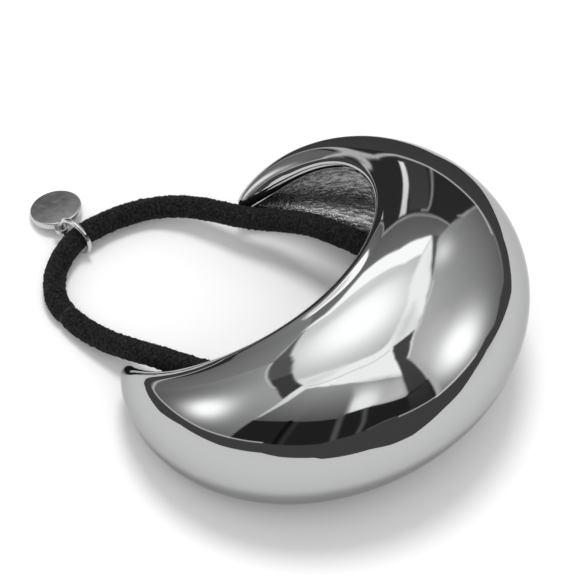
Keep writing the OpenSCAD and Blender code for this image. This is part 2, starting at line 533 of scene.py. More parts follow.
@dataclass
class Cuff:
    """The hollow domed casting and the bridge inside it."""

    # Form of the casting, which the solids share
    rim_radius: float = 23.5
    arm_angle: float = 127.0
    mid_depth: float = 22.5
    tip_depth: float = 3.5
    mid_height: float = 36.0
    tip_height: float = 5.0
    wall: float = 1.0
    tip_metal: float = 1.5
    mid_sweep: float = 92.0
    tip_sweep: float = 155.0
    tip_lean: float = 1.2
    tip_power: int = 3
    depth_fall: float = 1.8
    nose_power: float = 12.0
    rest_tilt: float = 17.0
    # Edges of the rims, where a cap is a share of the sweep or of the rim's width
    outer_edge: float = 2.0
    outer_round: float = 0.75
    outer_cap: float = 0.75
    inner_edge: float = 0.6
    edge_cap: float = 0.2
    edge_probe: float = 0.01
    lip_reach: float = 0.35
    lip_lift: float = 0.55
    lip_power: int = 2
    # Steps of the mesh
    stations: int = 288
    outer_steps: int = 124
    hollow_steps: int = 56
    edge_steps: int = 8
    # The bridge and the solder at its feet
    bridge_thickness: float = 1.6
    bridge_hole: float = 2.7
    bridge_steps: int = 36
    solder_radius: float = 1.52
    solder_height: float = 1.1
    solder_inset: float = 0.75
    finish: PolishedCasting = PolishedCasting()
    inside: RawCasting = RawCasting()

    @property
    def hollow_angle(self) -> float:
        """Angle from the middle to where the hollow ends in an arm."""
        return self.arm_angle - math.degrees(self.tip_metal / self.rim_radius)

    def cast_point(self, way: float, climb: float, face: Side) -> Vector:
        """Finds one point of a cast surface before the cuff is tilted.

        Args:
            way: Share of the way from the middle to a tip, -1 to 1.
            climb: Share of the sweep from the lower rim, -1, to the upper, 1.
            face: The face of the wall.

        Returns:
            The point, with the cuff's own axis along Z.
        """
        inset, angle = ((0.0, self.arm_angle) if face is Side.OUTSIDE
                        else (self.wall, self.hollow_angle))
        share = abs(way)
        left = 1 - share * share
        tip = share ** self.tip_power
        nose = math.sqrt(max(0.0, 1 - share ** self.nose_power))
        sweep = math.radians(self.mid_sweep + (self.tip_sweep - self.mid_sweep) * tip)
        depth = nose * (self.tip_depth - inset
                        + (self.mid_depth - self.tip_depth) * left ** self.depth_fall)
        half = nose * (self.tip_height / 2 - inset
                       + (self.mid_height - self.tip_height) / 2 * left)
        deep = depth * (math.cos(climb * sweep) - math.cos(sweep)) / (1 - math.cos(sweep))
        radius = self.rim_radius + deep
        turn = math.radians(angle) * way + math.copysign(
            self.tip_lean * tip * deep / self.rim_radius, way)
        return Vector((radius * math.cos(turn), radius * math.sin(turn),
                       half * math.sin(climb * sweep)))

    def edge_share(self, way: float, rim: int, face: Side) -> float:
        """Finds how much of the sweep a rim's rounded edge takes.

        Args:
            way: Share of the way from the middle to a tip.
            rim: -1 for the lower rim and 1 for the upper.
            face: The face of the wall.

        Returns:
            The share of the sweep, up to the cap.
        """
        edge = self.outer_edge if face is Side.OUTSIDE else self.inner_edge
        end = self.cast_point(way, rim, face)
        before = self.cast_point(way, rim * (1 - self.edge_probe), face)
        return min(self.edge_cap, edge * self.edge_probe / max((end - before).length, TINY))

    def rim_round(self, way: float, rim: int) -> list[Vector]:
        """Finds the points over one rim, from the outer surface to the hollow.

        Args:
            way: Share of the way from the middle to a tip.
            rim: -1 for the lower rim and 1 for the upper.

        Returns:
            The points between the last outer point and the first hollow point.
        """
        outer_end, hollow_end = (self.cast_point(way, rim, face) for face in Side)
        start, finish = (
            self.cast_point(way, rim * (1 - self.edge_share(way, rim, face)), face)
            for face in Side)
        width = max((hollow_end - outer_end).length, TINY)
        outer_flat = outer_end.lerp(hollow_end, min(self.outer_cap, self.outer_round / width))
        hollow_flat = hollow_end.lerp(outer_end, min(self.edge_cap, self.inner_edge / width))
        reach, rise = outer_end - start, outer_end - hollow_end
        full = min(1.0, reach.length / self.outer_edge) * (1 - way * way) ** self.lip_power
        lip = outer_end + full * (self.lip_reach * reach.normalized()
                                  + self.lip_lift * rise.normalized())
        points = [self.bend(start, lip, outer_flat, k / self.edge_steps)
                  for k in range(1, self.edge_steps + 1)]
        points.append((outer_flat + hollow_flat) / 2)
        points += [self.bend(hollow_flat, hollow_end, finish, k / self.edge_steps)
                   for k in range(self.edge_steps)]
        return points

    @staticmethod
    def bend(start: Vector, corner: Vector, end: Vector, share: float) -> Vector:
        """Finds a point on the round of a corner."""
        return start.lerp(corner, share).lerp(corner.lerp(end, share), share)

    def section(self, way: float) -> list[Vector]:
        """Finds the closed section of the wall at one place on the way.

        Args:
            way: Share of the way from the middle to a tip.

        Returns:
            The points, from the middle of the hollow round and back to it.
        """
        low_out, low_in, high_out, high_in = (
            1 - self.edge_share(way, rim, face) for rim in (-1, 1) for face in Side)
        half = self.hollow_steps // 2
        down = [self.cast_point(way, -low_in * k / half, Side.INSIDE) for k in range(half + 1)]
        across = [self.cast_point(way, -low_out + (low_out + high_out) * k / self.outer_steps,
                                  Side.OUTSIDE) for k in range(self.outer_steps + 1)]
        back = [self.cast_point(way, high_in * (1 - k / half), Side.INSIDE)
                for k in range(half + 1)]
        return down + self.rim_round(way, -1)[::-1] + across + self.rim_round(way, 1) + back

    def build_casting(self) -> Shape:
        """Bends a grid into the closed wall of the casting.

        Returns:
            The casting, standing on its own axis.
        """
        sections = [self.section(-math.cos(math.pi * i / self.stations))
                    for i in range(self.stations + 1)]
        around = len(sections[0]) - 1
        inside_end = self.hollow_steps // 2
        shape = bmesh.new()
        shape.loops.layers.uv.new("cast")
        bmesh.ops.create_grid(shape, x_segments=self.stations, y_segments=around, size=1.0,
                              calc_uvs=True)
        steps: dict[Vertex, int] = {}
        for vert in shape.verts:
            station, steps[vert] = grid_place(vert, self.stations, around)
            vert.co = sections[station][steps[vert]]
        for face in shape.faces:
            spanned = [steps[vert] for vert in face.verts]
            hollow = max(spanned) <= inside_end or min(spanned) >= around - inside_end
            face.material_index = Side.INSIDE.value if hollow else Side.OUTSIDE.value
        bmesh.ops.remove_doubles(shape, verts=shape.verts, dist=MERGE)
        bmesh.ops.recalc_face_normals(shape, faces=shape.faces)
        return shape

    def add_bridge(self, shape: Shape) -> None:
        """Adds the half ring under the dome that holds the elastic.

        Args:
            shape: The casting, which the bridge is soldered to.
        """
        radius = self.rim_radius + self.mid_depth - self.wall - self.bridge_hole
        half = self.bridge_hole + self.bridge_thickness / 2
        share = half / (self.mid_height / 2 - self.wall)
        closing = math.cos(math.radians(self.mid_sweep))
        end = self.rim_radius + self.wall / 2 + (self.mid_depth - self.wall) / (
            1 - closing) * (math.sqrt(1 - share * share) - closing)
        wire = bmesh.new()
        bend_wire(wire, self.bridge_thickness, Matrix.Translation((radius, 0, half)),
                  (radius, 0, 0), (0, -1, 0), math.pi, self.bridge_steps)
        feet = bmesh.ops.extrude_edge_only(wire, edges=open_edges(wire))["geom"]
        bmesh.ops.translate(wire, vec=(end - radius, 0, 0),
                            verts=[part for part in feet if isinstance(part, Vertex)])
        bmesh.ops.holes_fill(wire, edges=open_edges(wire), sides=0)
        for side in (-1, 1):
            bmesh.ops.create_cone(
                wire, cap_ends=True, segments=WIRE_SIDES, radius1=self.bridge_thickness / 2,
                radius2=self.solder_radius, depth=self.solder_height,
                matrix=Matrix.Translation((end - self.solder_inset, 0, side * half))
                @ turned(90, "Y"))
        bmesh.ops.recalc_face_normals(wire, faces=wire.faces)
        for face in wire.faces:
            face.material_index = Side.INSIDE.value
        joined = bpy.data.meshes.new("bridge")
        wire.to_mesh(joined)
        wire.free()
        shape.from_mesh(joined)
        bpy.data.meshes.remove(joined)

    def build(self) -> bpy.types.Object:
        """Models the cuff, lays it on the table and dresses it.

        Returns:
            The finished cuff.
        """
        shape = self.build_casting()
        self.add_bridge(shape)
        bmesh.ops.transform(shape, verts=shape.verts, matrix=turned(-self.rest_tilt, "Y"))
        across = [vert.co.x for vert in shape.verts]
        lowest = min(vert.co.z for vert in shape.verts)
        bmesh.ops.translate(shape, verts=shape.verts,
                            vec=(-(min(across) + max(across)) / 2, 0, -lowest))
        cuff = finished("domed_cuff", shape, [self.finish.material(), self.inside.material()])
        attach(cuff, "root")
        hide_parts("cuff_shell")
        return cuff


@dataclass(frozen=True)
class RibWave:
    """A wave that pulls the ribs out of line.

    Its size is in ribs. It goes up and down so many times round the cord, and
    turns by so many radians along the whole loop.
    """

    size: float
    around: int
    along: float


@dataclass
class ElasticLoop:
    """The knitted elastic, laid in a closed loop, and its fuzz."""

    # Points of the centreline, given here and shared with the solids
    route: tuple[Point, ...] = (
        (25.7, 0, 22.8), (24.8, 4, 22.5), (22.4, 7.2, 21.8), (18.9, 9.1, 20.7),
        (14.5, 10.8, 19.4), (9.5, 12.5, 17.9), (3.5, 14.2, 16.2), (-3, 15.7, 14.3),
        (-9.6, 16.8, 13), (-15.6, 17.5, 11.3), (-21.5, 17.4, 8.9), (-27, 16.7, 7.2),
        (-32.6, 16.6, 5.7), (-38.4, 16, 4.2), (-43.6, 13.8, 3.1), (-47.4, 10.1, 2.9),
        (-49.9, 6, 3.2), (-51.5, 2, 3.5), (-52, -2.6, 3), (-51.1, -6.8, 2.4),
        (-48.6, -10.3, 2.1), (-45.1, -12.2, 2.1), (-41, -13.6, 2.6), (-35.9, -14.7, 3.8),
        (-31, -15.3, 5.5), (-26, -15.7, 7.2), (-20, -16.2, 9), (-13, -16.3, 11.1),
        (-6, -15.8, 13.1), (1, -14.7, 15.2), (8, -12.9, 17.4), (14, -11, 19.2),
        (18.9, -9.1, 20.7), (22.4, -7.2, 21.8), (24.8, -4, 22.5))
    diameter: float = 4.0
    length: float = 191.4
    table_gap: float = 0.03
    line_steps: int = 24
    path_points: int = 140
    # The knit, as ribs along the loop and stitches round the cord
    ribs: int = 315
    rings_per_rib: int = 5
    sides: int = 36
    stitches: int = 13
    proud: float = 0.06
    rib_depth: float = 0.16
    rib_power: float = 0.7
    rib_sway: float = 0.14
    rib_bulk: Range = (-0.5, 0.5)
    stitch_swell: Range = (-1.0, 1.0)
    stitch_depth: float = 0.1
    slants: tuple[RibWave, ...] = (RibWave(0.35, 1, 40), RibWave(0.3, 3, 211),
                                   RibWave(0.22, 7, -577))
    join_at: float = 0.578
    join_ribs: float = 1.4
    join_neck: float = 0.14
    knit_seed: int = 4
    # The fuzz, where the lengths, the rise and the lean are shares of a fibre's length
    fibres: int = 9000
    fibre_places: int = 1200
    fibre_sides: int = 3
    fibre_steps: int = 2
    fibre_length: float = 0.5
    fibre_lengths: Range = (0.45, 1.25)
    fibre_thickness: float = 0.024
    fibre_slant: Range = (-1.0, 1.0)
    fibre_root: float = 0.12
    fibre_rise: float = 0.45
    fibre_lean: float = 0.28
    fibre_seed: int = 11
    finish: KnittedYarn = KnittedYarn()
    fibre_finish: YarnFibre = YarnFibre()

    def line(self, share: float) -> Vector:
        """Finds a point on the smooth closed line through the route.

        Args:
            share: Place on the route, counted in its points.

        Returns:
            The point on the cord's centreline.
        """
        k = math.floor(share)
        t = share - k
        a, b, c, d = (Vector(self.route[(k + step) % len(self.route)])
                      for step in (-1, 0, 1, 2))
        return 0.5 * (2 * b + (c - a) * t + (2 * a - 5 * b + 4 * c - d) * t ** 2
                      + (3 * b - a - 3 * c + d) * t ** 3)

    def even_line(self, count: int) -> list[Vector]:
        """Spaces points evenly along the centreline.

        Args:
            count: How many points.

        Returns:
            The points, the last a step before the first.
        """
        shares = np.arange(len(self.route) * self.line_steps + 1) / self.line_steps
        points = np.array([self.line(share) for share in shares])
        run = np.concatenate(([0.0], np.cumsum(np.linalg.norm(np.diff(points, axis=0), axis=1))))
        at = np.arange(count) / count * run[-1]
        return [Vector(place) for place in zip(*(np.interp(at, run, axis) for axis in points.T))]

    @staticmethod
    def compass(line: list[Vector], k: int) -> tuple[Vector, Vector, Vector]:
        """Finds the cord's own directions at one point of its line.

        Args:
            line: The evenly spaced points.
            k: Number of the point.

        Returns:
            The directions ahead, to the side and up.
        """
        ahead = (line[(k + 1) % len(line)] - line[k - 1]).normalized()
        side = ahead.cross(Vector((0, 0, 1))).normalized()
        return ahead, side, side.cross(ahead)

    def above_table(self, place: Vector) -> Vector:
        """Holds a point just clear of the table."""
        return Vector((place.x, place.y, max(place.z, self.table_gap)))

    def knit_radius(self, share: float, angle: float, swell: list[list[float]],
                    bulk: list[float]) -> float:
        """Finds the cord's radius at one place of its knit.

        Args:
            share: Share of the way round the loop.
            angle: Angle round the cord, in radians.
            swell: How plump each stitch of each rib is.
            bulk: How thick each rib is.

        Returns:
            The radius, ribs and stitches included.
        """
        rib = share * self.ribs + sum(
            wave.size * math.sin(wave.around * angle + wave.along * share)
            for wave in self.slants)
        row = int(rib) % self.ribs
        column = angle / (2 * math.pi) * self.stitches + (row % 2) / 2
        stitch = swell[row][int(column) % self.stitches]
        groove, plump = abs(math.sin(math.pi * rib)), abs(math.sin(math.pi * column))
        neck = math.exp(-((share - self.join_at) * self.ribs / self.join_ribs) ** 2)
        return (self.diameter / 2 + self.proud
                - self.rib_depth * (1 - groove ** self.rib_power)
                - self.stitch_depth * (1 - plump)
                - self.rib_sway * ((1 - stitch * groove * plump) / 2 - bulk[row] * groove)
                - self.join_neck * neck)

    def build_cord(self) -> bpy.types.Object:
        """Bends a grid into the ribbed cord.

        Returns:
            The cord, dressed and with its knit map.
        """
        rings = self.ribs * self.rings_per_rib
        line = self.even_line(rings)
        frames = [self.compass(line, k) for k in range(rings)]
        chance = random.Random(self.knit_seed)
        swell = [[chance.uniform(*self.stitch_swell) for _ in range(self.stitches)]
                 for _ in range(self.ribs)]
        bulk = [chance.uniform(*self.rib_bulk) for _ in range(self.ribs)]
        shape = bmesh.new()
        shape.loops.layers.uv.new("knit")
        bmesh.ops.create_grid(shape, x_segments=rings, y_segments=self.sides, size=1.0,
                              calc_uvs=True)
        for vert in shape.verts:
            i, j = grid_place(vert, rings, self.sides)
            i, j = i % rings, j % self.sides
            angle = 2 * math.pi * j / self.sides
            radius = self.knit_radius(i / rings, angle, swell, bulk)
            _, side, top = frames[i]
            vert.co = self.above_table(
                line[i] + radius * (math.cos(angle) * side + math.sin(angle) * top))
        bmesh.ops.remove_doubles(shape, verts=shape.verts, dist=MERGE)
        bmesh.ops.recalc_face_normals(shape, faces=shape.faces)
        return finished("knitted_elastic", shape,
                        [self.finish.material(self.ribs, self.stitches, self.join_at)])

    def scatter_fibres(self) -> list[tuple[Vector, Vector, Vector, float]]:
        """Strews the fibres over the cord.

        Returns:
            Each fibre's root, the way out of the cord, its lean and its reach.
        """
        line = self.even_line(self.fibre_places)
        chance = random.Random(self.fibre_seed)
        fibres = []
        for _ in range(self.fibres):
            k = chance.randrange(len(line))
            ahead, side, top = self.compass(line, k)
            angle = chance.uniform(0, 2 * math.pi)
            out = math.cos(angle) * side + math.sin(angle) * top
            lean = (ahead * chance.uniform(*self.fibre_slant)
                    + out.cross(ahead) * chance.uniform(*self.fibre_slant))
            root = line[k] + out * (self.diameter / 2 - self.fibre_root)
            fibres.append((root, out, lean,
                           self.fibre_length * chance.uniform(*self.fibre_lengths)))
        return fibres

    def build_fuzz(self) -> bpy.types.Object:
        """Cuts a grid into thin curved fibres that stand off the cord.

        Returns:
            The fibres, as one object.
        """
        strip = self.fibre_sides + 1
        last = strip * self.fibres - 1
        shape = bmesh.new()
        bmesh.ops.create_grid(shape, x_segments=last, y_segments=self.fibre_steps, size=1.0)
        places = {vert: grid_place(vert, last, self.fibre_steps) for vert in shape.verts}
        between = [face for face in shape.faces
                   if len({places[vert][0] // strip for vert in face.verts}) > 1]
        bmesh.ops.delete(shape, geom=between, context="FACES_ONLY")
        loose = [edge for edge in shape.edges if not edge.link_faces]
        bmesh.ops.delete(shape, geom=loose, context="EDGES")
        fibres = self.scatter_fibres()
        for vert in shape.verts:
            column, height = places[vert]
            root, out, lean, reach = fibres[column // strip]
            angle = 2 * math.pi * (column % strip) / self.fibre_sides
            girth = self.fibre_thickness / 2 * (self.fibre_steps - height) / self.fibre_steps
            across = out.cross(lean).normalized()
            place = (root + out * (reach * self.fibre_rise * height)
                     + lean * (reach * self.fibre_lean * height ** 2))
            place += girth * (math.cos(angle) * across + math.sin(angle) * lean.normalized())
            vert.co = self.above_table(place)
        bmesh.ops.remove_doubles(shape, verts=shape.verts, dist=MERGE)
        bmesh.ops.holes_fill(shape, edges=open_edges(shape), sides=self.fibre_sides)
        bmesh.ops.recalc_face_normals(shape, faces=shape.faces)
        return finished("elastic_fuzz", shape, [self.fibre_finish.material()])

    def build(self, hangers: list[bpy.types.Object]) -> list[bpy.types.Object]:
        """Args:
            hangers: The pieces that hang on the cord; not used.

        Returns:
            The cord and its fuzz.
        """
        cord, fuzz = self.build_cord(), self.build_fuzz()
        for piece in (cord, fuzz):
            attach(piece, "root")
        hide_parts("elastic_loop")
        closed = [Vector(p) * MM for p in self.even_line(self.path_points)]
        closed.append(closed[0])
        return [cord, fuzz]


@dataclass
class JumpRing:
    """The round wire ring on the elastic, closed but for a fine cut."""

    centre: Point = (-52.083, 2.142, 3.7)
    heading: float = -103.7
    radius: float = 3.25
    wire: float = 0.9
    cut: float = 0.15
    cut_at: float = 122.0
    cut_edge: float = 0.06
    cut_segments: int = 2
    steps: int = 132
    finish: PlatedMetal = PlatedMetal("plated_wire", (0.085, 0.115))

    def build(self) -> bpy.types.Object:
        """Bends the wire round the ring and rounds its two cut ends.

        Returns:
            The finished ring.
        """
        shape = bmesh.new()
        gap = self.cut / self.radius
        bend_wire(shape, self.wire, Matrix.Translation((self.radius, 0, 0)) @ turned(90, "Z"),
                  (0, 0, 0), (0, 0, 1), 2 * math.pi - gap, self.steps)
        ends = open_edges(shape)
        bmesh.ops.holes_fill(shape, edges=ends, sides=0)
        round_off(shape, ends, self.cut_edge, self.cut_segments)
        bmesh.ops.recalc_face_normals(shape, faces=shape.faces)
        bmesh.ops.transform(shape, verts=shape.verts, matrix=(
            Matrix.Translation(self.centre) @ turned(self.heading, "Z") @ turned(90, "Y")
            @ turned(self.cut_at + math.degrees(gap / 2), "Z")))
        ring = finished("wire_ring", shape, [self.finish.material()])
        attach(ring, "root")
        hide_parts("jump_ring")
        return ring


@dataclass
class Charm:
    """The bare disc that hangs on the ring by its eye."""

    eye_centre: Point = (-55.171, 2.896, 3.024)
    heading: float = -48.0
    roll: float = 6.0
    tilt: float = 13.58
    reach: float = 5.3
    diameter: float = 9.0
    thickness: float = 1.3
    sides: int = 128
    edge: float = 0.25
    edge_segments: int = 5
    eye_thickness: float = 0.8
    eye_hole: float = 0.75
    eye_radius: float = 1.2
    eye_edge: float = 0.14
    eye_segments: int = 4
    eye_steps: int = 64
    neck_width: float = 1.92
    neck_root: float = 0.4
    neck_stop: float = 0.12
    finish: PlatedMetal = PlatedMetal("plated_charm", (0.272, 0.368), 0.0007)

    def disc(self, shape: Shape) -> None:
        """Adds the disc with its rounded edges.

        Args:
            shape: The charm's shape.
        """
        made = bmesh.ops.create_cone(shape, cap_ends=True, segments=self.sides,
                                     radius1=self.diameter / 2, radius2=self.diameter / 2,
                                     depth=self.thickness)
        rims = [edge for edge in edges_of(shape, made)
                if any(len(face.verts) == self.sides for face in edge.link_faces)]
        round_off(shape, rims, self.edge, self.edge_segments)

    def eye(self, shape: Shape) -> None:
        """Adds the flat ring of the eye, with rounded edges.

        Args:
            shape: The charm's shape.
        """
        rim = self.eye_radius - self.eye_hole
        middle = (self.eye_radius + self.eye_hole) / 2
        section = bmesh.ops.create_grid(
            shape, x_segments=1, y_segments=1, size=0.5,
            matrix=Matrix.Translation((self.reach - middle, 0, 0)) @ turned(90, "X")
            @ Matrix.Diagonal((rim, self.eye_thickness, 1, 1)))
        corners = round_off(shape, section["verts"], self.eye_edge, self.eye_segments, "VERTICES")
        outline = edges_of(shape, corners)
        flat = list({face for edge in outline for face in edge.link_faces})
        bmesh.ops.delete(shape, geom=flat, context="FACES_ONLY")
        bmesh.ops.spin(shape, geom=outline, cent=(self.reach, 0, 0), axis=(0, 0, 1),
                       angle=2 * math.pi, steps=self.eye_steps, use_merge=True)

    def neck(self, shape: Shape) -> None:
        """Adds the short neck between the disc and the eye.

        Args:
            shape: The charm's shape.
        """
        start = self.diameter / 2 - self.neck_root
        end = self.reach - self.eye_hole - self.neck_stop
        made = bmesh.ops.create_cube(
            shape, size=1.0, matrix=Matrix.Translation(((start + end) / 2, 0, 0))
            @ Matrix.Diagonal((end - start, self.neck_width, self.eye_thickness, 1)))
        long_edges = [edge for edge in edges_of(shape, made)
                      if abs(edge.verts[0].co.x - edge.verts[1].co.x) > MERGE]
        round_off(shape, long_edges, self.eye_edge, self.eye_segments)

    def build(self) -> bpy.types.Object:
        """Models the charm and leans it from the ring to the table.

        Returns:
            The finished charm.
        """
        shape = bmesh.new()
        self.disc(shape)
        self.eye(shape)
        self.neck(shape)
        bmesh.ops.recalc_face_normals(shape, faces=shape.faces)
        bmesh.ops.transform(shape, verts=shape.verts, matrix=(
            Matrix.Translation(self.eye_centre) @ turned(self.heading, "Z")
            @ turned(-self.tilt, "Y") @ turned(self.roll, "X")
            @ Matrix.Translation((-self.reach, 0, 0))))
        charm = finished("disc_charm", shape, [self.finish.material()])
        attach(charm, "root")
        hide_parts("charm_disc")
        return charm


# The studio that the metal mirrors, set out by heading and height

# Height past which headings close up no further
OVERHEAD = 85.0
# Height from which a glow is measured by its true angle
STEEP = 60.0


def towards(heading: float, height: float) -> Vector:
    """Finds the direction at a heading and a height."""
    a, e = math.radians(heading), math.radians(height)
    return Vector((math.cos(a) * math.cos(e), math.sin(a) * math.cos(e), math.sin(e)))


def distances(headings: np.ndarray, heights: np.ndarray, line: Outline,
              closed: bool) -> np.ndarray:
    """Measures how far each direction is from a line.

    Args:
        headings: Headings.
        heights: Heights.
        line: The line's corners.
        closed: Whether its last corner joins its first.

    Returns:
        The distances in degrees.
    """
    best = np.full(headings.shape, np.inf)
    squeeze = np.cos(np.radians(np.minimum(heights, OVERHEAD)))
    for (ax, ay), (bx, by) in zip(line, line[1:] + line[:1] if closed else line[1:]):
        px, py = (headings - ax) * squeeze, heights - ay
        dx, dy = (bx - ax) * squeeze, by - ay
        share = np.clip((px * dx + py * dy) / np.maximum(dx * dx + dy * dy, TINY), 0, 1)
        best = np.minimum(best, np.hypot(px - share * dx, py - share * dy))
    return best


def inside(headings: np.ndarray, heights: np.ndarray, outline: Outline) -> np.ndarray:
    """Finds which directions lie inside an outline.

    Args:
        headings: Headings.
        heights: Heights.
        outline: The outline's corners.

    Returns:
        True where a direction lies inside.
    """
    odd = np.zeros(headings.shape, bool)
    for (ax, ay), (bx, by) in zip(outline, outline[1:] + outline[:1]):
        if ay != by:
            crossing = ax + (heights - ay) * (bx - ax) / (by - ay)
            odd ^= ((ay > heights) != (by > heights)) & (headings < crossing)
    return odd


@dataclass(frozen=True)
class Panel:
    """One flat screen or soft box of the studio, in the tone that the metal shows.

    Its tone changes evenly to the upper one, where it has one, from its foot to
    its top, and its edges blur over the soft width.
    """

    outline: Outline
    tone: float
    upper: float | None = None
    soft: float = 0.6

    def cover(self, headings: np.ndarray, heights: np.ndarray) -> tuple[np.ndarray, np.ndarray]:
        """Finds how much the panel covers each direction, and its tone there.

        Args:
            headings: Headings.
            heights: Heights.

        Returns:
            The cover from 0 to 1, and the tone.
        """
        gap = distances(headings, heights, self.outline, True)
        gap = np.where(inside(headings, heights, self.outline), gap, -gap)
        levels = [height for _, height in self.outline]
        rise = np.clip((heights - min(levels)) / (max(levels) - min(levels)), 0, 1)
        upper = self.tone if self.upper is None else self.upper
        return np.clip(0.5 + gap / self.soft / 2, 0, 1), self.tone + (upper - self.tone) * rise


@dataclass(frozen=True)
class Bar:
    """A narrow stand or slit of light."""

    line: Outline
    width: float
    tone: float
    soft: float = 0.5

    def cover(self, headings: np.ndarray, heights: np.ndarray) -> tuple[np.ndarray, np.ndarray]:
        """Finds how much the bar covers each direction, and its tone."""
        gap = self.width / 2 - distances(headings, heights, self.line, False)
        return np.clip(0.5 + gap / self.soft / 2, 0, 1), np.full(headings.shape, self.tone)


@dataclass(frozen=True)
class Glow:
    """A soft round glow of a lamp behind its cloth, even as far as its core."""

    heading: float
    height: float
    spread: Range
    tone: float
    core: float = 0.0

    def cover(self, headings: np.ndarray, heights: np.ndarray) -> tuple[np.ndarray, np.ndarray]:
        """Finds how much the glow covers each direction, and its tone.

        Args:
            headings: Headings.
            heights: Heights.

        Returns:
            The cover from 0 to 1, and the tone.
        """
        turn = (headings - self.heading + 180) % 360 - 180
        if self.height < STEEP:
            across = turn * math.cos(math.radians(self.height)) / self.spread[0]
            reach = np.hypot(across, (heights - self.height) / self.spread[1])
        else:
            a, b = np.radians(heights), math.radians(self.height)
            level = np.cos(a) * math.cos(b) * np.cos(np.radians(turn)) + np.sin(a) * math.sin(b)
            reach = np.degrees(np.arccos(np.clip(level, -1, 1))) / self.spread[0]
        reach = np.maximum(reach - self.core, 0)
        return np.exp(-reach ** 2 / 2), np.full(headings.shape, self.tone)


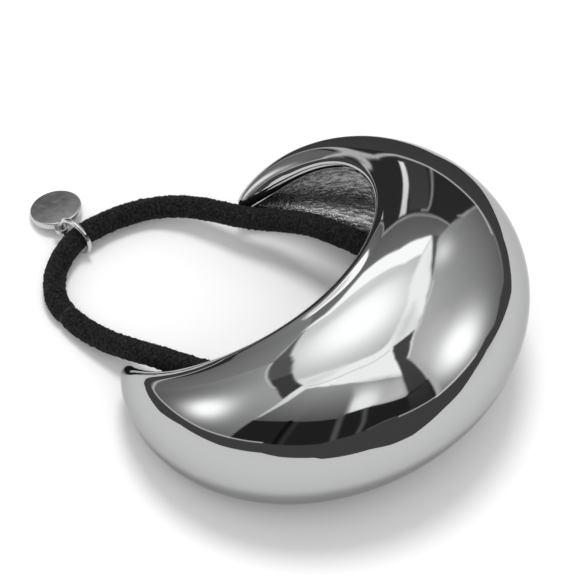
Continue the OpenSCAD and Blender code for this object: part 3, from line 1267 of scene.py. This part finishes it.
SURROUNDINGS: tuple[Panel | Bar | Glow, ...] = (
    # Pale cloth all round and overhead, and the lamp high on the far side
    Panel(((-181, -3), (181, -3), (181, 91), (-181, 91)), 105, 178, soft=0.1),
    Panel(((101, 40), (163, 44), (181, 54), (181, 91), (-181, 91), (-181, 54), (-160, 61),
           (-128, 62), (-110, 76), (0, 82), (70, 77), (101, 60)), 178),
    Glow(147, 70, (11, 11), 254, 0.5),
    Bar(((104, 53.5), (120, 54), (140, 54), (160, 51)), 2.5, 192, soft=4),
    # The near panel overhead
    Panel(((-131, 63), (-120, 71), (-105, 76), (-85, 79), (-60, 80.5), (0, 79.5), (30, 79.5),
           (55, 78), (70, 75.5), (82, 71), (92, 67), (99, 63), (102, 58), (103, 48), (101, 38),
           (90, 52), (70, 62), (40, 67), (0, 62), (-20, 48), (-35, 56), (-60, 63), (-112, 61)),
          234, soft=1.0),
    Panel(((-131, 63), (-120, 71), (-105, 76), (-98, 77), (-104, 66), (-112, 61)), 212, soft=3),
    Panel(((0, 75), (30, 78), (60, 76), (75, 68), (50, 70), (24, 72)), 206, soft=2.5),
    Bar(((-112, 62), (-100, 65.5), (-90, 69), (-75, 72.5), (-60, 74), (-10, 74.5)), 0.8, 192),
    # The front diffuser and its bright side
    Panel(((-109, 60), (-100, 63), (-80, 64), (-65, 64), (-50, 61), (-30, 55), (-19, 48),
           (-21, 30), (-45, 36), (-57, 35.8), (-60, 33), (-80, 33), (-100, 31), (-109, 29)),
          78, 146),
    Panel(((-62, 33), (-42, 35), (-24, 30), (-19, 48), (-30, 55), (-42, 59), (-60, 61),
           (-55, 50)), 176, 152, soft=3.5),
    Glow(-48, 42, (5, 7), 228, 0.4),
    Panel(((-38, 34), (-21, 30), (-19.5, 47), (-24, 49), (-34, 46)), 182, 170, soft=3),
    Panel(((-60, 33), (-57.5, 36), (-57, 52), (-61, 62), (-85, 64), (-85, 33)), 80, 145, soft=1.6),
    Panel(((-118, 61.5), (-108, 61.5), (-107, 50), (-109, 33), (-110.5, 33), (-111, 42),
           (-112, 48), (-115, 55)), 178, 226),
    # The left soft box, and the dark screen over it
    Panel(((-181, 46.5), (-165, 50), (-150, 52.5), (-130, 54), (-118, 52.5), (-113, 50),
           (-111.5, 45), (-110.5, 30), (-109, 12), (-109, -3), (-181, -3)), 92, 152),
    Panel(((-181, -3), (-160, -3), (-160, 53), (-181, 46)), 84, 138, soft=9),
    Panel(((154, -3), (181, -3), (181, 47.5), (172, 45), (163, 43), (158, 40), (156, 34)), 88, 124),
    Glow(-140, 23, (8, 9), 252, 0.3),
    Panel(((-181, 47.5), (-165, 51), (-150, 53.5), (-130, 54.5), (-114, 51.5), (-116, 56),
           (-118, 62), (-145, 61.5), (-160, 60), (-172, 58), (-181, 53.5)), 80),
    Panel(((-152, 53.5), (-130, 54.5), (-114, 51.5), (-116, 56), (-118, 62), (-145, 61.5),
           (-151, 61)), 58),
    Panel(((162, 43.5), (172, 46.5), (181, 47.5), (181, 54), (172, 49.5)), 84),
    Bar(((-181, 46.8), (-165, 50.4), (-150, 53), (-135, 54.3)), 0.6, 195),
    # The strip lamp, and the dim screen under it
    Panel(((101, 38.5), (108, 41), (122, 43.5), (140, 42), (150, 45), (154, 46), (162, 42.5),
           (160, 45), (155, 48), (145, 49), (130, 50.5), (115, 51.5), (103.5, 48)), 248),
    Panel(((93, 30), (96, 40), (100, 38.5), (108, 41), (122, 43.5), (130, 42.6), (140, 42),
           (150, 45), (156, 45), (160, 42), (155, 36), (143, 34.5), (133, 32), (120, 31)),
          84, 108),
    # The dark screen on the right, with a lamp's slit in it
    Panel(((87, -3), (156, -3), (156, 34), (143, 34), (133, 31), (120, 30.3), (93, 29.6), (90, 22),
           (88, 10)), 40),
    Panel(((108.5, -3), (119, -3), (120, 29), (108.5, 29)), 56, 60, soft=0.8),
    Bar(((93, 30), (110, 31.4), (126, 31), (133, 32.4), (147, 36.2)), 0.6, 150),
    Bar(((86.6, 0), (87.2, 10), (88.6, 18), (91, 22)), 0.7, 158),
    Bar(((106.5, 0), (107, 20), (107.6, 26), (108.5, 28.6), (112, 29)), 1.1, 132),
    Panel(((121.3, 29.6), (125, 29.6), (122.8, 18), (120.6, 5.4), (118.3, 5.6), (119.4, 17),
           (121, 25)), 226, 200, soft=0.4),
    # The large soft box and its edges
    Panel(((-8, 7), (-7.5, 30), (-6, 58), (-3, 60), (10, 65), (25, 67.5), (45, 66), (58, 64.5),
           (70, 60), (80, 55), (88, 50), (94, 44), (96, 40), (95, 36), (92, 31), (88, 29),
           (87.5, 22), (87, 10), (86, -1), (78, 3), (55, 2), (48, 5), (35, 4), (25, 7.5),
           (10, 9)), 92, 170),
    Panel(((-7.5, 45), (-6, 58), (-3, 60), (10, 65), (25, 67), (40, 66), (40, 52), (18, 52),
           (0, 46)), 166, soft=5),
    Glow(18, 29.5, (11.5, 11), 258, 0.35),
    Panel(((-8, 9), (-7.6, 30), (-6.4, 56), (-4, 57), (-4.4, 30), (-5, 10)), 168, soft=1.6),
    Glow(88, 43.5, (4, 5.5), 205),
    Bar(((-5, 59.5), (10, 65.5), (20, 67.5)), 0.8, 215),
    Bar(((22, 66.8), (45, 65.6), (58, 63.9), (70, 59.6), (78, 55.6)), 0.5, 205),
    Panel(((83, 54.6), (90, 51), (96, 45.6), (102, 38.4), (97, 38.2), (95.5, 42), (91, 47.5)), 82,
          soft=0.7),
    # The dark screen beside the soft box
    Panel(((-21, 30), (-20, 45), (-17, 57), (-14, 66), (-8, 72), (0, 74.5), (8, 73.5), (18, 71.5),
           (28, 68.5), (22, 68), (10, 66.5), (0, 62.5), (-7, 59.5), (-8, 45), (-8.5, 30),
           (-8.5, 8), (-21, 8)), 52, 66),
    # The dark screen in front, and the stands before it
    Panel(((-110, -3), (-8, -3), (-8, 30), (-20, 30), (-23, 28.6), (-28, 30.4), (-35, 33),
           (-42, 35.6), (-50, 36.2), (-57.5, 35.8), (-60, 33), (-75, 33.4), (-92, 33),
           (-100, 31.6), (-110, 29.2)), 30),
    Bar(((-89, 33), (-88, 8)), 2.4, 16),
    Bar(((-85, 32), (-84.6, 8)), 2.2, 46, soft=1.0),
    Bar(((-60.2, 34), (-60.2, 10)), 3.2, 74, soft=0.8),
    Bar(((-46.4, 34.6), (-46.6, 22), (-48.6, 12)), 2.6, 76, soft=0.9),
    Panel(((-22, 28), (-9, 30), (-9, 10), (-22, 11)), 40, 50, soft=1.0),
    # The dark ground beyond the table, and the light along the table's edge
    Panel(((-181, -4), (-181, 0.5), (-147, 1), (-127, 2), (-110, 4.6), (-94, 7.6), (-66, 7.5),
           (-60, 9.6), (-44, 12), (-36, 14), (-30, 13), (-20, 10), (-8, 7), (18, 6.5), (28, 7),
           (36, 3.5), (48, 4.5), (56, 1), (88, -1), (181, -1), (181, -4)), 60),
    Bar(((-44, 12.4), (-36, 14.4), (-30, 13.6)), 0.9, 98),
    Bar(((-28, 12.2), (-20, 10.6), (-12, 9), (-6, 8)), 1.3, 168),
    Bar(((-8, 8), (8, 8.4), (19, 7.4)), 1.4, 205),
    Bar(((76, 3), (88, 1.1), (97, 1.5), (108, 0.9), (120, 1.3), (131, 4), (142, 2), (172, 2.4),
         (181, 1.2)), 1.9, 172),
    Bar(((-181, 1.2), (-165, 1.1), (-147, 1.8), (-127, 2.6), (-110.7, 5.3), (-94, 8)), 1.2, 186),
)


@dataclass(frozen=True)
class Lamp:
    """One soft round lamp that looks at the cuff, with its size and reach in metres."""

    name: str
    heading: float
    height: float
    size: float
    watts: float
    reach: float = 0.8

    def hang(self) -> None:
        """Hangs the lamp, out of the camera's and the metal's sight."""
        light = bpy.data.lights.new(self.name, "AREA")
        light.shape = "DISK"
        light.size = self.size
        light.energy = self.watts
        lamp = bpy.data.objects.new(self.name, light)
        lamp.location = self.reach * towards(self.heading, self.height)
        lamp.rotation_euler = (-lamp.location).to_track_quat("-Z", "Y").to_euler()
        lamp.visible_glossy = False
        lamp.visible_camera = False
        bpy.context.scene.collection.objects.link(lamp)


@dataclass
class Studio:
    """The white table, the soft lamps and the screens that the metal mirrors."""

    radius: float = 2600.0
    columns: int = 720
    rows: int = 186
    foot: float = -3.0
    reflectance: float = PolishedCasting.reflectance
    sky: float = 0.8
    lamps: tuple[Lamp, ...] = (Lamp("key_lamp", 115, 80, 0.25, 2.9),
                               Lamp("front_lamp", -60, 62, 0.6, 0.9))
    table_half: float = 4000.0
    ground_tone: float = 60.0
    ground_height: float = 0.4
    # Where the white table ends in the mirror, seen from above
    table_edge: Outline = (
        (-190, -20), (-132, -57), (-98, -75), (-121, -137), (-90, -160), (-59, -172), (-4, -288),
        (28, -186), (62, -146), (57, -115), (73, -97), (86, -83), (78, -56), (83, -42), (100, -37),
        (143, -25), (190, 3), (402, 94), (754, 336), (320, 206), (178, 157), (105, 123), (89, 154),
        (59, 163), (25, 116), (7, 80), (-3, 69), (-12, 78), (-24, 57), (-43, 46), (-90, 50),
        (-180, 30))

    def light_of(self, tone: np.ndarray) -> np.ndarray:
        """Turns tones as the metal shows them into light, by the usual display curve.

        Args:
            tone: Tones from 0 to 255, or above it for a lamp.

        Returns:
            The strength of light that the metal mirrors as that tone.
        """
        toe, slope, lift, power = 0.04045, 12.92, 0.055, 2.4
        share = np.maximum(tone, 0.0) / 255.0
        lit = np.where(share <= toe, share / slope, ((share + lift) / (1 + lift)) ** power)
        return lit / self.reflectance

    def build_screens(self) -> bpy.types.Object:
        """Bends a grid into the studio's dome and paints the screens' light on it.

        Returns:
            The dome, which only gloss can see.
        """
        shape = bmesh.new()
        bmesh.ops.create_grid(shape, x_segments=self.columns, y_segments=self.rows, size=1.0)
        flat = np.array([vert.co[:2] for vert in shape.verts])
        headings, heights = flat[:, 0] * 180, self.foot + (flat[:, 1] + 1) / 2 * (90 - self.foot)
        for vert, heading, height in zip(shape.verts, headings, heights):
            vert.co = self.radius * towards(heading, height)
        tone = np.zeros(headings.shape)
        for part in SURROUNDINGS:
            cover, shade = part.cover(headings, heights)
            tone = tone + (shade - tone) * cover
        dome = finished("mirrored_studio", shape, [Glowing("studio_light").material()])
        glow = dome.data.attributes.new("glow", "FLOAT", "POINT")
        glow.data.foreach_set("value", self.light_of(tone).astype(np.float32))
        self.only_in_gloss(dome)
        return dome

    @staticmethod
    def only_in_gloss(thing: bpy.types.Object) -> None:
        """Hides a stage piece from everything but mirrored rays.

        Args:
            thing: The piece to hide.
        """
        thing.visible_camera = False
        thing.visible_diffuse = False
        thing.visible_transmission = False
        thing.visible_volume_scatter = False
        thing.visible_shadow = False

    def build_ground(self) -> bpy.types.Object:
        """Lays the dark ground that the metal mirrors beyond the table.

        Returns:
            The ground, which only gloss can see.
        """
        shape = bmesh.new()
        rings = []
        for scales in ([1.0] * len(self.table_edge),
                       [self.radius / math.hypot(x, y) for x, y in self.table_edge]):
            loop = [shape.verts.new((x * scale, y * scale, self.ground_height))
                    for (x, y), scale in zip(self.table_edge, scales)]
            rings += [shape.edges.new(ends) for ends in zip(loop, loop[1:] + loop[:1])]
        bmesh.ops.bridge_loops(shape, edges=rings)
        light = float(self.light_of(np.array([self.ground_tone]))[0])
        ground = finished("mirrored_ground", shape, [Glowing("ground_light", light).material()],
                          smooth=False)
        self.only_in_gloss(ground)
        return ground

    def build_table(self) -> bpy.types.Object:
        """Lays the white table top.

        Returns:
            The table top.
        """
        shape = bmesh.new()
        bmesh.ops.create_grid(shape, x_segments=4, y_segments=4, size=self.table_half)
        table = finished("table_top", shape, [TableTop().material()], smooth=False)
        return table

    def build(self) -> None:
        """Builds the table, the screens, the ground, the lamps and the sky."""
        self.build_table()
        self.build_screens()
        self.build_ground()
        for lamp in self.lamps:
            lamp.hang()
        world = bpy.data.worlds.new("pale_sky")
        world.use_nodes = True
        sky = world.node_tree.nodes["Background"]
        sky.inputs["Color"].default_value = coloured(1.0)
        sky.inputs["Strength"].default_value = self.sky
        scene = bpy.context.scene
        scene.world = world
        scene.view_settings.view_transform = "Standard"


@dataclass
class PhotoCamera:
    """The camera, at the photograph's place and angle."""

    place: Point = (150.776, -305.674, 481.473)
    target: Point = (-15.542, 11.379, 0.0)
    lens: float = 218.98
    sensor: float = 36.0
    clip: Range = (50.0, 20000.0)

    def build(self) -> bpy.types.Object:
        """Sets up the camera.

        Returns:
            The camera, which is the scene's own.
        """
        data = bpy.data.cameras.new("photo_camera")
        data.lens = self.lens
        data.sensor_width = self.sensor
        data.clip_start, data.clip_end = (distance * MM for distance in self.clip)
        camera = bpy.data.objects.new("photo_camera", data)
        look = Vector(self.target) - Vector(self.place)
        camera.location = Vector(self.place) * MM
        camera.rotation_euler = look.to_track_quat("-Z", "Y").to_euler()
        bpy.context.scene.collection.objects.link(camera)
        bpy.context.scene.camera = camera
        return camera


def report(piece: bpy.types.Object) -> None:
    """Logs a piece's name, size and count of faces."""
    size = [round(side / MM, 1) for side in piece.dimensions]
    log.info("%s: %s mm, %d faces", piece.name, size, len(piece.data.polygons))


def main() -> None:
    """Builds the camera, the pieces and the studio."""
    logging.basicConfig(level=logging.INFO, format="%(message)s")
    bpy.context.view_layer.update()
    PhotoCamera().build()
    ring = JumpRing().build()
    charm = Charm().build()
    pieces = ElasticLoop().build([ring, charm])
    pieces += [ring, charm, Cuff().build()]
    Studio().build()
    bpy.context.view_layer.update()
    for piece in pieces:
        report(piece)


if __name__ == "__main__":
    main()
